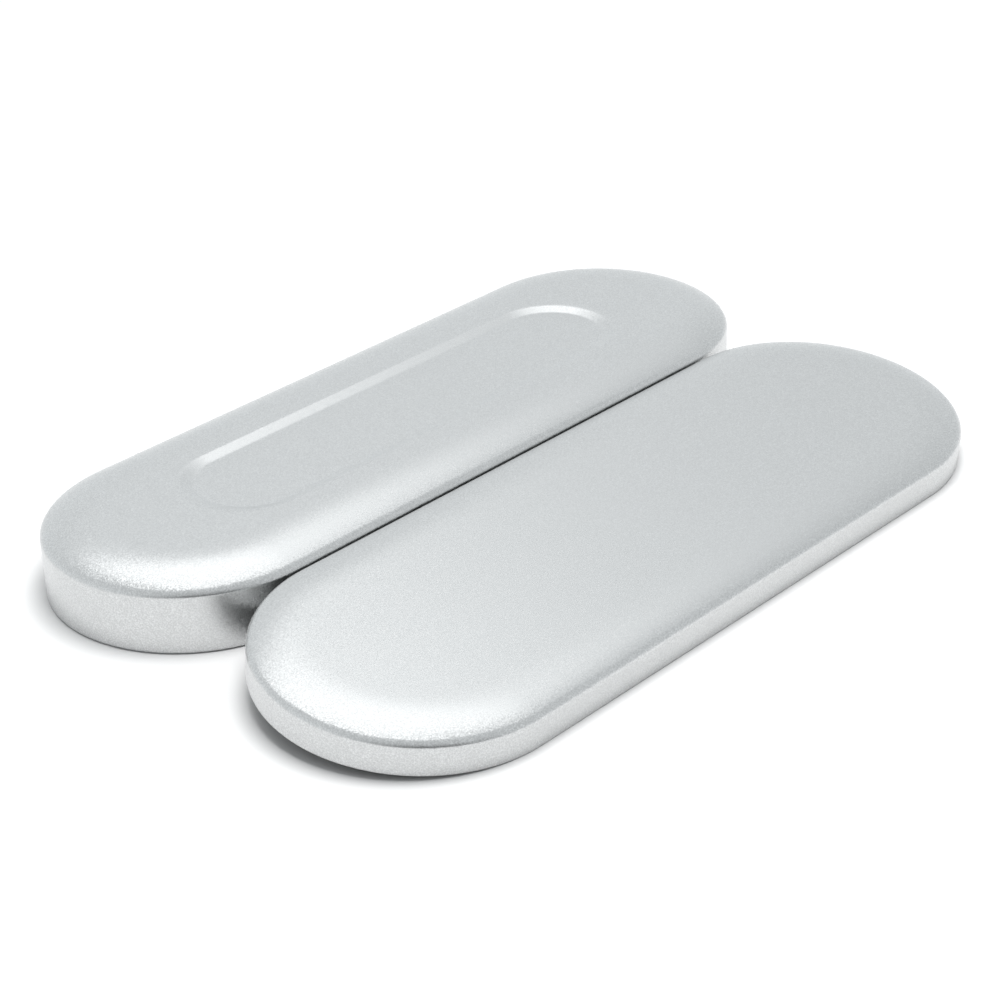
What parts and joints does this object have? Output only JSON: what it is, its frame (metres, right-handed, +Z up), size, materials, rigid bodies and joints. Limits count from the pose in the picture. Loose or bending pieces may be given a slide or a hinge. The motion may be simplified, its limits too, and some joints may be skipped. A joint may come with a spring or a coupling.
{
  "type": "tweezer case",
  "caption": "Slim stadium-shaped hinged tin with soft shoulders, a panel pressed into the base and a shallow overlapping lid, for keeping tweezers.",
  "frame": {"origin": "middle of the open case's footprint, on the table that the base's rim and the lid's free edge rest on", "axes": "+X along the case and its hinge, +Y across from the lid to the base, +Z up out of the base's bottom"},
  "size_m": [0.1798, 0.121, 0.0158],
  "materials": {
    "tinplate": "satin tinplate with a fine sparkling grain"
  },
  "bodies": {
    "base": {"case_base": "tinplate"},
    "lid": {"case_lid": "tinplate"}
  },
  "joints": [
    {"name": "lid_hinge", "type": "hinge", "parent": "base", "child": "lid", "pos_m": [0, 0.00071, 0.00609], "axis": [1, 0, 0], "range_deg": [-5.76, 174.24]}
  ]
}
